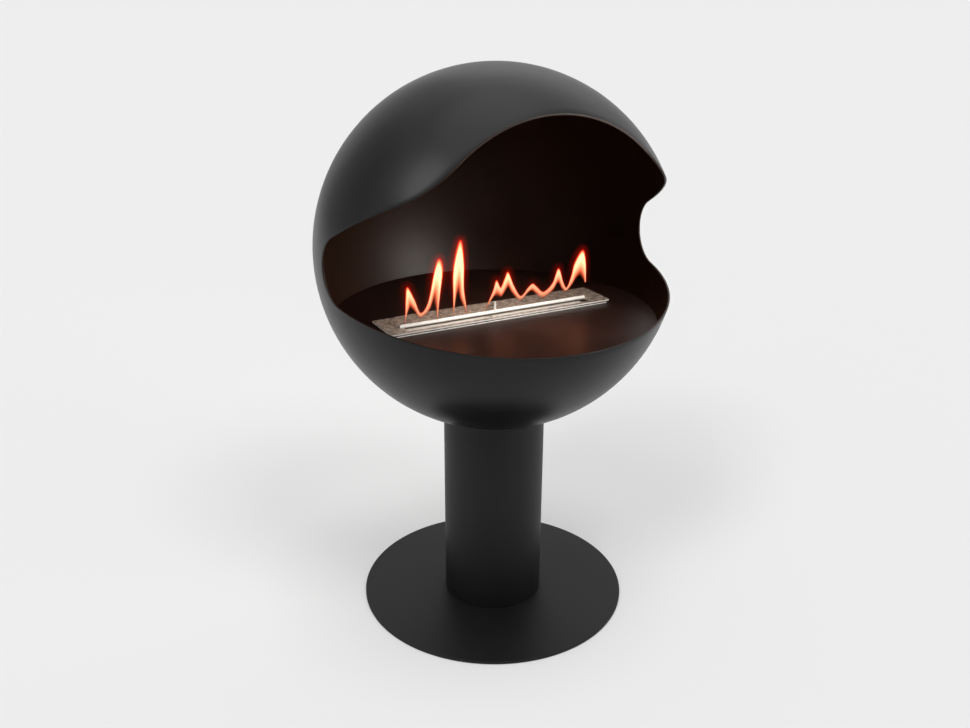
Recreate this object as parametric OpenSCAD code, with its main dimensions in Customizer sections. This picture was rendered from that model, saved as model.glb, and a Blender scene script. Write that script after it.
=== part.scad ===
// Floor-standing ball fireplace on a post, with a liquid-fuel burner dropped into its hearth.
// Millimetres. The origin is the middle of the foot on the floor, +Z is up,
// the opening faces -Y and the damper handle stands to the left of the middle.

/* [Sphere] */
// Outside diameter of the sphere
sphere_d = 600; // [580:1:620]
// Height of the sphere's centre over the floor
sphere_h = 654; // [620:1:700]
// Wall of the pressed shells
shell_t = 3; // [2:0.5:4]

/* [Opening] */
// Distance of the arch's upright cut in front of the sphere's centre
arch_y = 180; // [160:1:200]
// Height over the centre where the sloping side line crosses the middle
slope_z = 44; // [38:1:50]
// Slope of the side line, degrees
slope_a = 28.4; // [25:0.2:31]
// Depth under the centre where the sill line crosses the middle
sill_z = 41; // [36:1:46]
// Rise of the sill towards the back, degrees
sill_a = 9.5; // [7:0.5:12]
// Radius of the hollow bend between the arch and the side line
bend_r = 65; // [40:1:80]
// Radius of the round end at each side
end_r = 57; // [52:1:62]

/* [Stand] */
// Diameter of the foot plate
base_d = 480; // [420:5:560]
// Thickness of the foot plate
base_t = 5; // [4:0.5:8]
// Thickness of the rubber sheet under the foot
pad_t = 1; // [0.5:0.5:3]
// How far the rubber sheet stays inside the foot's edge
pad_inset = 8; // [4:1:20]
// Outside diameter of the post
post_d = 177.8; // [160:0.1:200]
// Wall of the post
post_t = 3; // [2:0.5:5]
// Thickness of the ring welded inside the post's foot
foot_ring_t = 10; // [8:1:14]
// Bore of both post rings
ring_bore = 84; // [70:1:90]
// Pitch circle of the foot screws
foot_pcd = 140; // [130:1:146]
// Number of foot screws
foot_screws_n = 4; // [3:1:6]
// Length of the foot screws
foot_screw_l = 12; // [10:1:14]
// Shank diameter of the foot screws and sphere bolts
bolt_d = 8; // [6:1:8]

/* [Sphere seat] */
// Thickness of the dished ring at the post's top
seat_t = 10; // [8:1:14]
// Thickness of the dished saddle inside the sphere
saddle_t = 3; // [2:0.5:5]
// Outside diameter of the saddle
saddle_d = 150; // [140:1:170]
// Angle between the sphere's axis and each radial bolt, degrees
bolt_a = 11.5; // [11:0.1:12]
// Number of radial bolts
seat_bolts_n = 4; // [3:1:6]
// Thickness of the bolt washers
washer_t = 1.6; // [1:0.1:2.5]
// Outside diameter of the bolt washers
washer_d = 16; // [14:1:20]

/* [Hearth] */
// Height of the hearth's top over the floor
hearth_h = 543; // [535:1:555]
// Thickness of the hearth plate
hearth_t = 3; // [2.5:0.5:5]
// Number of lugs and screws that hold the hearth
lugs_n = 4; // [4:4:8]
// Width of a lug
lug_w = 30; // [20:1:40]
// Reach of a lug in from the sphere's wall
lug_reach = 36; // [28:1:50]
// Thickness of a lug
lug_t = 5; // [4:0.5:8]
// Distance of the hearth screws in from the plate's edge
hearth_screw_in = 16; // [12:1:18]
// Length of the hearth screws
hearth_screw_l = 8; // [6:0.5:12]
// Shank diameter of the hearth screws
hearth_screw_d = 5; // [4:0.5:5]

/* [Burner box] */
// Outside length of the burner's tank
tank_l = 380; // [374:1:390]
// Outside width of the tank
tank_w = 72; // [70:1:76]
// Depth of the tank under its flange
tank_h = 60; // [45:1:80]
// Sheet thickness of the tank and its flange
tank_t = 1.5; // [1:0.1:2]
// Reach of the tank's flange past the tank's ends
flange_reach = 14; // [12:0.5:20]
// Reach of the flange past the tank's long sides
flange_side = 5; // [4:0.5:8]
// Corner radius of the tank
tank_r = 6; // [4:1:10]
// Sheet thickness of the fuel tray
tray_t = 1; // [0.8:0.1:1.2]
// Height of the gap under the tray
tray_gap = 4; // [2:1:8]
// Distance of the tray's feet in from its ends
tray_foot_in = 18; // [10:1:60]
// Distance of the feet's ends in from the tray's long sides
tray_foot_side = 6; // [4:1:20]
// Thickness of the black gasket between flange and cover
gasket_t = 2; // [1:0.5:3]
// How far the gasket stays inside the flange's edge
gasket_inset = 3; // [2:0.5:4]

/* [Burner cover] */
// Overhang of the cover past the flange's ends
cover_over = 5; // [1:0.5:8]
// Sheet thickness of the cover
cover_t = 2; // [1.5:0.5:3]
// Corner radius of the cover
cover_r = 4; // [2:0.5:6]
// Distance of the flame slot's ends in from the tank's ends, on average
slot_in = 16.5; // [11:0.5:25]
// Width of the flame slot
slot_w = 16; // [12:0.5:18]
// Distance of the slot's front edge in front of the middle
slot_front = 33; // [31:0.5:34]
// Corner radius of the slot
slot_r = 4; // [2:0.5:6]
// Distance of the slot's middle to the left of the burner's middle
slot_left = 2.5; // [0:0.5:10]
// Depth of the white wool's ridge under the cover's top
ridge_down = 3; // [2.5:0.5:5]
// Depth of the wool's top beside the ridge, under the cover's top
wool_down = 7; // [6:0.5:12]
// Length of the filling gap at the slot's right end
fill_gap = 12; // [8:1:20]
// Length of the lighting gap beside the handle
light_gap = 9; // [6:1:14]
// Shank diameter of the cover screws
cover_screw_d = 4; // [3:0.5:4]
// Distance of the cover screws in from the flange's ends
cover_screw_in = 7; // [6:0.5:8]
// How far the cover screws end above the flange's underside
cover_screw_short = 0.5; // [0.2:0.1:0.8]
// Distance of the cover screws from the burner's middle line
cover_screw_y = 26; // [22:1:30]

/* [Damper] */
// Overlap of the damper plate past the flame slot's ends, on average
lid_over = 14.5; // [8:0.5:16]
// Thickness of the damper plate
lid_t = 1.2; // [1:0.1:2]
// Distance of the open damper's back edge behind the middle
lid_back = 39; // [36:0.5:40]
// Radius of the damper's round ends
lid_r = 30; // [28:1:32]
// Overlap of the upright blade past the flame slot's ends, on average
blade_over = 4; // [0:0.5:5]
// Distance of the blade's middle to the left of the burner's middle
blade_left = 5.5; // [0:0.5:7]
// Height of the blade over the cover
blade_h = 6; // [5:0.5:10]
// Radius of the blade's upper corners
blade_r = 3; // [1:0.5:4]
// Diameter of the handle pin
pin_d = 4; // [3.5:0.5:6]
// Length of the handle pin
pin_l = 19; // [14:1:26]
// Distance of the handle pin to the left of the burner's middle
pin_left = 9; // [0:1:20]
// Shank diameter of the guide studs
stud_d = 4; // [3:0.5:5]
// Distance of the guide studs in from the damper plate's ends
stud_in = 38; // [34:1:60]
// Thickness of the studs' retaining rings
clip_t = 0.8; // [0.6:0.1:1]

/* [Clearances] */
// Play between pieces that are welded or screwed face to face on a curve
weld_gap = 0.1; // [0.05:0.01:0.2]
// Play of a plain-drawn thread in its hole
thread_gap = 0.05; // [0.02:0.01:0.1]
// Play of a screw in a clearance hole
hole_gap = 0.4; // [0.3:0.05:0.6]
// Play of the hearth plate inside the sphere
hearth_gap = 0.5; // [0.3:0.1:1]
// Play of the burner in the hearth's cut-out
drop_gap = 0.75; // [0.5:0.05:1.2]
// Play of the fuel tray in the tank
tray_play = 0.5; // [0.3:0.1:0.8]
// Play under and beside the sliding damper
slide_gap = 0.3; // [0.2:0.05:0.4]

/* [Hidden] */

// Facets of the shown curves
fine = 120;
small = 40;
// A length that reaches past any piece
far = 2 * sphere_d;
// Overlap of a cutter past the face it cuts
over = 1;

sphere_r = sphere_d / 2;
inner_r = sphere_r - shell_t;
post_r = post_d / 2;
tube_r = post_r - post_t;
foot_z = pad_t + base_t;
// A ball round the sphere's centre, for pieces that seat on its outside
seat_in_r = sphere_r + weld_gap;
seat_out_r = seat_in_r + seat_t;
saddle_out_r = inner_r - weld_gap;
saddle_in_r = saddle_out_r - saddle_t;
bolt_r = bolt_d / 2;
// Button head: diameter and height go with the shank
head_r = 0.875 * bolt_d;
head_h = 0.55 * bolt_d;
// How far a radial bolt ends short of the seat ring's underside
bolt_end = 1;

hearth_z0 = hearth_h - hearth_t;
drop_below_centre = sphere_h - hearth_z0;
hearth_r = sqrt(inner_r * inner_r - drop_below_centre * drop_below_centre) - hearth_gap;
hearth_screw_r = hearth_r - hearth_screw_in;

flange_l = tank_l + 2 * flange_reach;
flange_w = tank_w + 2 * flange_side;
cover_l = flange_l + 2 * cover_over;
slot_l = tank_l - 2 * slot_in;
lid_l = slot_l + 2 * lid_over;
blade_l = slot_l + 2 * blade_over;
stud_x = lid_l / 2 - stud_in;
flange_z1 = hearth_h + tank_t;
gasket_z1 = flange_z1 + gasket_t;
cover_z1 = gasket_z1 + cover_t;
tank_in_l = tank_l - 2 * tank_t;
tank_in_w = tank_w - 2 * tank_t;
tank_z0 = hearth_h - tank_h;
tray_z0 = tank_z0 + tank_t + tray_gap;
tray_l = tank_in_l - 2 * tray_play;
tray_w = tank_in_w - 2 * tray_play;
ridge_z1 = cover_z1 - ridge_down;
wool_z1 = cover_z1 - wool_down;

// The damper travels from open until its blade meets the slot's front edge
slot_y0 = -slot_front;
slot_y1 = slot_y0 + slot_w;
blade_t = lid_t;
travel = slot_w;
lid_z0 = cover_z1 + slide_gap;
lid_y0 = slot_y1;
stud_y = (slot_y1 + lid_back) / 2;
stud_r = stud_d / 2;
// The riveted stud head fills a 45 degree countersink through the damper's thickness
stud_head_r = stud_r + lid_t;
// The stud's neck carries a retaining ring that reaches past the guide slot
neck_r = 0.75 * stud_r;
clip_r = stud_r + 2.5;
pin_r = pin_d / 2;
washer_r = washer_d / 2;
// A flat washer bears on the hollow saddle with its rim
washer_at = sqrt(saddle_in_r * saddle_in_r - washer_r * washer_r) - thread_gap;

// Points of an arc round c from angle a0 to a1, both ends included
function arc(c, r, a0, a1, n) =
    [for (i = [0:n]) let (a = a0 + (a1 - a0) * i / n) c + r * [cos(a), sin(a)]];

// Side view of the opening, in Y and Z from the sphere's centre: an upright arch cut, a hollow
// bend, a sloping line, a round end and the sill line, all tangent to each other
function slope_at(y) = slope_z - tan(slope_a) * y;
function sill_at(y) = -sill_z + tan(sill_a) * y;
end_y = (slope_z + sill_z - end_r * (1 / cos(slope_a) + 1 / cos(sill_a))) / (tan(slope_a) + tan(sill_a));
end_c = [end_y, sill_at(end_y) + end_r / cos(sill_a)];
bend_y = bend_r - arch_y;
bend_c = [bend_y, slope_at(bend_y) + bend_r / cos(slope_a)];
opening_points = concat(
    [[-far, far], [-arch_y, far]],
    arc(bend_c, bend_r, 180, 270 - slope_a, 20),
    arc(end_c, end_r, 90 - slope_a, sill_a - 90, 40),
    [[-far, sill_at(-far)]]);

// One set of children turned round Z in n even steps, the first at angle a0
module ring_of(n, a0 = 0) {
    for (i = [0:n - 1]) rotate([0, 0, a0 + 360 * i / n]) children();
}

// Box with upright round edges, its foot at z0
module rounded_box(l, w, z0, z1, r) {
    translate([0, 0, z0]) linear_extrude(height = z1 - z0) rounded_rectangle(l, w, r);
}

module rounded_rectangle(l, w, r) {
    union() {
        square([l - 2 * r, w], center = true);
        square([l, w - 2 * r], center = true);
        for (x = [-1, 1], y = [-1, 1])
            translate([x * (l / 2 - r), y * (w / 2 - r)]) circle(r = r, $fn = small);
    }
}

// Countersunk screw with its flat head at z = 0, pointing down: shank radius r, length l, and a
// 90 degree head of radius head
module countersunk(r, l, head) {
    rotate_extrude($fn = small) polygon([[0, 0], [head, 0], [r, r - head], [r, -l], [0, -l]]);
}

// Hole for such a screw, opened all round by gap
module countersink(r, l, head, gap) {
    wide = head + gap;
    hole = r + gap;
    rotate_extrude($fn = small)
        polygon([[0, over], [wide, over], [wide, 0], [hole, r - head], [hole, -l], [0, -l]]);
}

// Ball round the sphere's centre
module ball(r) {
    translate([0, 0, sphere_h]) sphere(r = r, $fn = fine);
}

// Children stand on a radial bolt's axis: +Z points to the sphere's centre, which is the origin
module at_bolts() {
    translate([0, 0, sphere_h]) ring_of(seat_bolts_n, 45) rotate([0, -bolt_a, 0]) children();
}

module opening_cutter() {
    translate([0, 0, sphere_h])
        rotate([90, 0, 90])
            linear_extrude(height = far, center = true) polygon(opening_points);
}

module bolt_holes(r) {
    at_bolts() translate([0, 0, -far / 2]) cylinder(r = r, h = far / 2 - sphere_r / 2, $fn = small);
}

module floor_pad() {
    color("#2a2a2a") cylinder(d = base_d - 2 * pad_inset, h = pad_t, $fn = fine);
}

module foot_plate() {
    color("#3b3b3b") difference() {
        translate([0, 0, pad_t]) cylinder(d = base_d, h = base_t, $fn = fine);
        ring_of(foot_screws_n, 45)
            translate([foot_pcd / 2, 0, pad_t])
                mirror([0, 0, 1]) countersink(bolt_r, base_t + over, bolt_d, hole_gap);
    }
}

module foot_screws() {
    color("#8a8a8a") ring_of(foot_screws_n, 45)
        translate([foot_pcd / 2, 0, pad_t]) mirror([0, 0, 1]) countersunk(bolt_r, foot_screw_l, bolt_d);
}

module post_foot_ring() {
    color("#5a5a5a") difference() {
        translate([0, 0, foot_z]) cylinder(r = tube_r - weld_gap, h = foot_ring_t, $fn = fine);
        translate([0, 0, foot_z - over]) cylinder(d = ring_bore, h = foot_ring_t + 2 * over, $fn = fine);
        ring_of(foot_screws_n, 45) translate([foot_pcd / 2, 0, foot_z - over])
            cylinder(r = bolt_r + thread_gap, h = foot_ring_t + 2 * over, $fn = small);
    }
}

// The tube's top is cut to the sphere
module post_tube() {
    color("#3d3d3d") difference() {
        translate([0, 0, foot_z]) cylinder(r = post_r, h = sphere_h - sphere_r / 2 - foot_z, $fn = fine);
        translate([0, 0, foot_z - over]) cylinder(r = tube_r, h = sphere_h, $fn = fine);
        ball(seat_in_r);
    }
}

// Dished ring welded in the tube's top: a slice of a thick shell round the sphere
module post_seat_ring() {
    color("#5a5a5a") difference() {
        intersection() {
            ball(seat_out_r);
            translate([0, 0, foot_z])
                cylinder(r = tube_r - weld_gap, h = sphere_h - sphere_r / 2 - foot_z, $fn = fine);
        }
        ball(seat_in_r);
        translate([0, 0, foot_z]) cylinder(d = ring_bore, h = sphere_h, $fn = fine);
        bolt_holes(bolt_r + thread_gap);
    }
}

module sphere_bolts() {
    tip_z = bolt_end - seat_out_r;
    head_z = washer_t - washer_at;
    color("#8a8a8a") at_bolts() {
        translate([0, 0, tip_z]) cylinder(r = bolt_r, h = head_z + head_h / 2 - tip_z, $fn = small);
        translate([0, 0, head_z]) cylinder(r = head_r, h = head_h, $fn = small);
    }
}

module bolt_washers() {
    color("#b0b0b0") at_bolts() translate([0, 0, -washer_at]) difference() {
        cylinder(r = washer_r, h = washer_t, $fn = small);
        translate([0, 0, -over]) cylinder(r = bolt_r + hole_gap, h = washer_t + 2 * over, $fn = small);
    }
}

// Dished ring inside the sphere that spreads the bolts' pull
module inner_saddle() {
    color("#5a5a5a") difference() {
        intersection() {
            ball(saddle_out_r);
            translate([0, 0, sphere_h - sphere_r]) cylinder(d = saddle_d, h = sphere_r / 2, $fn = fine);
        }
        ball(saddle_in_r);
        translate([0, 0, sphere_h - sphere_r]) cylinder(d = ring_bore, h = sphere_r, $fn = fine);
        bolt_holes(bolt_r + hole_gap);
    }
}

// Half of the hollow sphere: up is 1 for the upper half and -1 for the lower one
module half_shell(up) {
    difference() {
        ball(sphere_r);
        ball(inner_r);
        translate([-far / 2, -far / 2, sphere_h - (up > 0 ? far : 0)]) cube([far, far, far]);
        opening_cutter();
        if (up < 0) bolt_holes(bolt_r + hole_gap);
    }
}

module lower_shell() {
    color("#3a3a3a") half_shell(-1);
}

module upper_shell() {
    color("#404040") half_shell(1);
}

// Lugs welded to the sphere's inside, under the hearth's edge
module hearth_lugs() {
    color("#4a4a4a") intersection() {
        ball(inner_r - 2 * weld_gap);
        ring_of(lugs_n, 45) difference() {
            translate([hearth_r - lug_reach, -lug_w / 2, hearth_z0 - lug_t]) cube([sphere_r, lug_w, lug_t]);
            translate([hearth_screw_r, 0, hearth_z0 - lug_t - over])
                cylinder(r = hearth_screw_d / 2 + thread_gap, h = lug_t + 2 * over, $fn = small);
        }
    }
}

module hearth_plate() {
    color("#2e2524") difference() {
        translate([0, 0, hearth_z0]) cylinder(r = hearth_r, h = hearth_t, $fn = fine);
        rounded_box(tank_l + 2 * drop_gap, tank_w + 2 * drop_gap, hearth_z0 - over, hearth_h + over,
                    tank_r + drop_gap);
        ring_of(lugs_n, 45)
            translate([hearth_screw_r, 0, hearth_h])
                countersink(hearth_screw_d / 2, hearth_t + over, hearth_screw_d, hole_gap);
    }
}

module hearth_screws() {
    color("#333333") ring_of(lugs_n, 45)
        translate([hearth_screw_r, 0, hearth_h])
            countersunk(hearth_screw_d / 2, hearth_screw_l, hearth_screw_d);
}

module at_cover_screws() {
    for (x = [-1, 1], y = [-1, 1])
        translate([x * (flange_l / 2 - cover_screw_in), y * cover_screw_y, cover_z1]) children();
}

module cover_screw_holes(gap) {
    at_cover_screws()
        translate([0, 0, -far / 2]) cylinder(r = cover_screw_d / 2 + gap, h = far, $fn = small);
}

module burner_tank() {
    color("#b9b2aa") difference() {
        union() {
            rounded_box(tank_l, tank_w, tank_z0, flange_z1, tank_r);
            rounded_box(flange_l, flange_w, hearth_h, flange_z1, cover_r);
        }
        rounded_box(tank_in_l, tank_in_w, tank_z0 + tank_t, flange_z1 + over, tank_r - tank_t);
        cover_screw_holes(thread_gap);
    }
}

// Inner box that holds the fuel, on feet folded from its own ends
module fuel_tray() {
    color("#c4beb6") union() {
        difference() {
            rounded_box(tray_l, tray_w, tray_z0, wool_z1, tank_r - tank_t - tray_play);
            rounded_box(tray_l - 2 * tray_t, tray_w - 2 * tray_t, tray_z0 + tray_t, wool_z1 + over,
                        tank_r - tank_t - tray_play - tray_t);
        }
        for (x = [-1, 1])
            translate([x * (tray_l / 2 - tray_foot_in), 0, tray_z0 - tray_gap / 2])
                cube([tray_t, tray_w - 2 * tray_foot_side, tray_gap], center = true);
    }
}

// Filling of the tray, with a ridge that shows through the flame slot
module ceramic_wool() {
    wool_l = tray_l - 2 * tray_t - 2 * weld_gap;
    wool_w = tray_w - 2 * tray_t - 2 * weld_gap;
    wool_r = tank_r - tank_t - tray_play - tray_t;
    ridge_x0 = -slot_left - slot_l / 2 + slide_gap;
    ridge_x1 = -slot_left + slot_l / 2 - fill_gap;
    gap_x1 = -pin_left - 1.75 * pin_d;
    ridge_y0 = -wool_w / 2;
    color("#e6e2da") union() {
        rounded_box(wool_l, wool_w, tray_z0 + tray_t, wool_z1, wool_r);
        translate([ridge_x0, ridge_y0, wool_z1])
            cube([gap_x1 - light_gap - ridge_x0, slot_y1 - ridge_y0, ridge_z1 - wool_z1]);
        translate([gap_x1, ridge_y0, wool_z1])
            cube([ridge_x1 - gap_x1, slot_y1 - ridge_y0, ridge_z1 - wool_z1]);
    }
}

module cover_gasket() {
    color("#1f1f1f") difference() {
        rounded_box(flange_l - 2 * gasket_inset, flange_w - 2 * gasket_inset, flange_z1, gasket_z1,
                    cover_r);
        rounded_box(tank_in_l, tank_in_w, flange_z1 - over, gasket_z1 + over, tank_r - tank_t);
        cover_screw_holes(hole_gap);
    }
}

// Guide slot of one stud, along the damper's travel
module guide_slot(x) {
    r = stud_r + slide_gap;
    translate([x, stud_y - travel / 2, gasket_z1 - over]) linear_extrude(height = cover_t + 2 * over)
        union() {
            square([2 * r, travel], center = true);
            for (y = [-1, 1]) translate([0, y * travel / 2]) circle(r = r, $fn = small);
        }
}

module burner_cover() {
    color("#a89d94") difference() {
        rounded_box(cover_l, flange_w, gasket_z1, cover_z1, cover_r);
        translate([-slot_left, slot_y0 + slot_w / 2, 0])
            rounded_box(slot_l, slot_w, gasket_z1 - over, cover_z1 + over, slot_r);
        for (x = [-1, 1]) guide_slot(x * stud_x);
        at_cover_screws() countersink(cover_screw_d / 2, cover_t + over, cover_screw_d, hole_gap / 2);
    }
}

module cover_screws() {
    color("#9a948c") at_cover_screws()
        countersunk(cover_screw_d / 2, cover_z1 - hearth_h - cover_screw_short, cover_screw_d);
}

// Plate with round ends, cut straight at the front, where its edge is folded up as a blade
module damper_plate() {
    lid_w = 2 * lid_r + over;
    color("#b3a89e") difference() {
        union() {
            intersection() {
                translate([0, lid_back - lid_w / 2, 0])
                    rounded_box(lid_l, lid_w, lid_z0, lid_z0 + lid_t, lid_r);
                translate([-far / 2, lid_y0, 0]) cube([far, far, far]);
            }
            translate([-blade_left, lid_y0 + blade_t, lid_z0]) rotate([90, 0, 0])
                linear_extrude(height = blade_t) blade_outline(cover_z1 + blade_h - lid_z0);
        }
        for (x = [-1, 1]) translate([x * stud_x, stud_y, lid_z0 + lid_t])
            countersink(stud_r, lid_t + over, stud_head_r, thread_gap);
        translate([-pin_left, lid_y0 + blade_t / 2, 0]) pin_notch();
    }
}

// Upright strip with round upper corners, its foot on the X axis
module blade_outline(h) {
    union() {
        translate([-blade_l / 2, 0]) square([blade_l, h - blade_r]);
        translate([-blade_l / 2 + blade_r, 0]) square([blade_l - 2 * blade_r, h]);
        for (x = [-1, 1]) translate([x * (blade_l / 2 - blade_r), h - blade_r])
            circle(r = blade_r, $fn = small);
    }
}

// The pin straddles the blade: a slit in its foot takes the blade, whose notch takes the pin's root
module pin_notch() {
    translate([-pin_r / 2, -blade_t, cover_z1 + blade_h / 2]) cube([pin_r, 2 * blade_t, blade_h]);
}

module handle_pin() {
    slit = blade_t + 2 * thread_gap;
    translate([-pin_left, lid_y0 + blade_t / 2, 0]) color("#d8d2ca") difference() {
        translate([0, 0, lid_z0]) cylinder(r = pin_r, h = pin_l, $fn = small);
        difference() {
            translate([-pin_d, -slit / 2, 0]) cube([2 * pin_d, slit, cover_z1 + blade_h + thread_gap]);
            translate([-pin_r / 2 + thread_gap, -slit, cover_z1 + blade_h / 2 + thread_gap])
                cube([pin_r - 2 * thread_gap, 2 * slit, blade_h]);
        }
        translate([-pin_d, blade_t / 2 - thread_gap, 0])
            cube([2 * pin_d, pin_d, lid_z0 + lid_t + thread_gap]);
    }
}

// Shouldered studs riveted flush into the damper, which run in the cover's guide slots
module guide_studs() {
    groove_z1 = gasket_z1 - slide_gap;
    color("#a39b92") for (x = [-1, 1]) translate([x * stud_x, stud_y, lid_z0 + lid_t]) difference() {
        countersunk(stud_r, lid_z0 + lid_t - groove_z1 + 2 * clip_t, stud_head_r);
        translate([0, 0, groove_z1 - clip_t - lid_z0 - lid_t]) difference() {
            cylinder(r = stud_d, h = clip_t, $fn = small);
            translate([0, 0, -over]) cylinder(r = neck_r, h = clip_t + 2 * over, $fn = small);
        }
    }
}

module stud_rings() {
    color("#8c857d") for (x = [-1, 1])
        translate([x * stud_x, stud_y, gasket_z1 - slide_gap - clip_t + thread_gap]) difference() {
            cylinder(r = clip_r, h = clip_t - 2 * thread_gap, $fn = small);
            translate([0, 0, -over]) cylinder(r = neck_r + thread_gap, h = clip_t + 2 * over, $fn = small);
            translate([0, -neck_r * 0.8, -over]) cube([2 * clip_r, neck_r * 1.6, clip_t + 2 * over]);
        }
}

floor_pad();
foot_plate();
foot_screws();
post_foot_ring();
post_tube();
post_seat_ring();
sphere_bolts();
bolt_washers();
inner_saddle();
lower_shell();
upper_shell();
hearth_lugs();
hearth_plate();
hearth_screws();
burner_tank();
fuel_tray();
ceramic_wool();
cover_gasket();
burner_cover();
cover_screws();
damper_plate();
handle_pin();
guide_studs();
stud_rings();
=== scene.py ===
import math

import bmesh
import bpy
import numpy as np
from bpy.props import FloatProperty, FloatVectorProperty, IntProperty, PointerProperty
from mathutils import Matrix, Vector


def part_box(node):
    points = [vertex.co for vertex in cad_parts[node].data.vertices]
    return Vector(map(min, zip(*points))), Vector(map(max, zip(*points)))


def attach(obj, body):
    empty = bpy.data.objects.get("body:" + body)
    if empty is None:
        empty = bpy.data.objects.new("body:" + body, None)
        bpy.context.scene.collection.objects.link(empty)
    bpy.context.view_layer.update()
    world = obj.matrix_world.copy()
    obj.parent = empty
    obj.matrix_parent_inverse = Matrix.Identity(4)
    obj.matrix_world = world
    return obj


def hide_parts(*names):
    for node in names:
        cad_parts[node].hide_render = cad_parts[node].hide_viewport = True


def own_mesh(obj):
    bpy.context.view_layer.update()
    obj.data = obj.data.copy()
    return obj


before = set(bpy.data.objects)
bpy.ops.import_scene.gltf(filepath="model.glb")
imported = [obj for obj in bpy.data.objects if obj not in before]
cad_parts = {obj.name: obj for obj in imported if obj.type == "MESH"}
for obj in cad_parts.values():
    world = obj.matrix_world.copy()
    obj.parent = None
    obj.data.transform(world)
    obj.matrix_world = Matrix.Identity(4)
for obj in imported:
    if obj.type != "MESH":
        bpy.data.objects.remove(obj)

bl_info = {
    "name": "Ball fireplace",
    "version": (1, 0, 0),
    "blender": (4, 5, 0),
    "location": "3D View > Sidebar > Fireplace",
    "description": "Skins and finishes for a steel ball fireplace with an ethanol burner",
    "category": "Add Mesh",
}

MM = 0.001

# Places read from the frame, in metres
BALL_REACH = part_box("lower_shell")[1].y
ARCH_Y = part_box("upper_shell")[0].y
BALL_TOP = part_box("upper_shell")[1].z
POST_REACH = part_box("post_tube")[1].x
FOOT_LOW, FOOT_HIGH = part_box("foot_plate")
HEARTH_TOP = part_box("hearth_plate")[1].z
FLANGE_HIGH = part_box("burner_tank")[1]
COVER_LOW, COVER_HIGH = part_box("burner_cover")
BLADE_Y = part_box("damper_plate")[0].y


def linear(code):
    """An sRGB hex value such as "#1A1A1B" as a linear colour with alpha 1."""
    parts = [int(code[i:i + 2], 16) / 255 for i in (1, 3, 5)]
    return tuple(c / 12.92 if c <= 0.04045 else ((c + 0.055) / 1.055) ** 2.4 for c in parts) + (1.0,)


def length(name, description, millimetres, most=1.0):
    """A sidebar length with its default in millimetres and its upper limit in metres."""
    return FloatProperty(name=name, description=description, default=millimetres * MM,
                         min=0.0, max=most, precision=4, unit="LENGTH", subtype="DISTANCE")


def slope(name, description, degrees):
    """A sidebar angle with its default in degrees."""
    return FloatProperty(name=name, description=description, default=math.radians(degrees),
                         subtype="ANGLE")


def colour(name, description, code):
    """A sidebar colour with its default as an sRGB hex value."""
    return FloatVectorProperty(name=name, description=description, default=linear(code),
                               size=4, min=0.0, max=1.0, subtype="COLOR")


def level(name, description, share):
    """A sidebar level of light as a share."""
    return FloatProperty(name=name, description=description, default=share, min=0.0, max=2.0)


def power(name, description, watts):
    """A sidebar lamp power in watts."""
    return FloatProperty(name=name, description=description, default=watts, min=0.0, max=50.0,
                         unit="POWER")


class BallSizes(bpy.types.PropertyGroup):
    """The ball's shell, and its opening as lines about the ball's middle"""
    radius: length("Radius", "Outside of the ball", BALL_REACH / MM)
    wall: length("Wall", "Thickness of the pressed shell", 3)
    arch_y: length("Arch", "Depth of the ball's middle behind the arch", -ARCH_Y / MM)
    slope_z: length("Slope height", "Height of the slope line above the ball's middle", 44)
    slope_a: slope("Slope", "Rise of the slope line to the front", 28.4)
    sill_z: length("Sill drop", "Drop of the sill line below the ball's middle", 41)
    sill_a: slope("Sill slope", "Fall of the sill line to the front", 9.5)
    bend_r: length("Bend", "Radius between the slope line and the arch", 65)
    end_r: length("Round end", "Radius of the opening's side ends", 57)
    edge_round: length("Edge round", "Rounding of the opening's edge", 0.7)
    columns: IntProperty(name="Columns", description="Meridians of the ball's grid",
                         default=480, min=96, max=960)
    rows: IntProperty(name="Rows", description="Rows of the outer and of the inner wall",
                      default=64, min=16, max=160)


class StandSizes(bpy.types.PropertyGroup):
    """The post and the foot"""
    foot_radius: length("Foot radius", "Outside of the foot plate", FOOT_HIGH.x / MM)
    foot_top: length("Foot top", "Height of the foot's upper face", FOOT_HIGH.z / MM)
    foot_low: length("Foot underside", "Height of the foot's lower face", FOOT_LOW.z / MM)
    foot_edge: length("Foot edge", "Rounding of the coated foot's edge", 0.8)
    post_radius: length("Post radius", "Outside of the post tube", POST_REACH / MM)
    post_wall: length("Post wall", "Thickness of the post tube", 3)
    post_edge: length("Post edge", "Rounding of the tube's ends", 0.3)
    post_gap: length("Post gap", "Gap between the tube's end and the ball", 0.1)


class EdgeSizes(bpy.types.PropertyGroup):
    """Small bevels on the edges of the cut sheets and of the pin"""
    hearth: length("Hearth edge", "Bevel of the hearth plate", 0.3)
    tank: length("Tank edge", "Bevel of the burner's box and flange", 0.25)
    cover: length("Cover edge", "Bevel of the burner's cover", 0.4)
    damper: length("Damper edge", "Bevel of the damper plate", 0.25)
    pin: length("Pin edge", "Bevel of the handle pin", 0.3)


class FlameSizes(bpy.types.PropertyGroup):
    """The flames over the slot"""
    thick: length("Thickness", "How far a flame bows to the front", 3)
    halo: length("Halo", "Width of the red glow round a flame", 12.5)
    glow: FloatProperty(name="Glow", description="Strength of the flames' light", default=3.0,
                        min=0.0, max=20.0)


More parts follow.
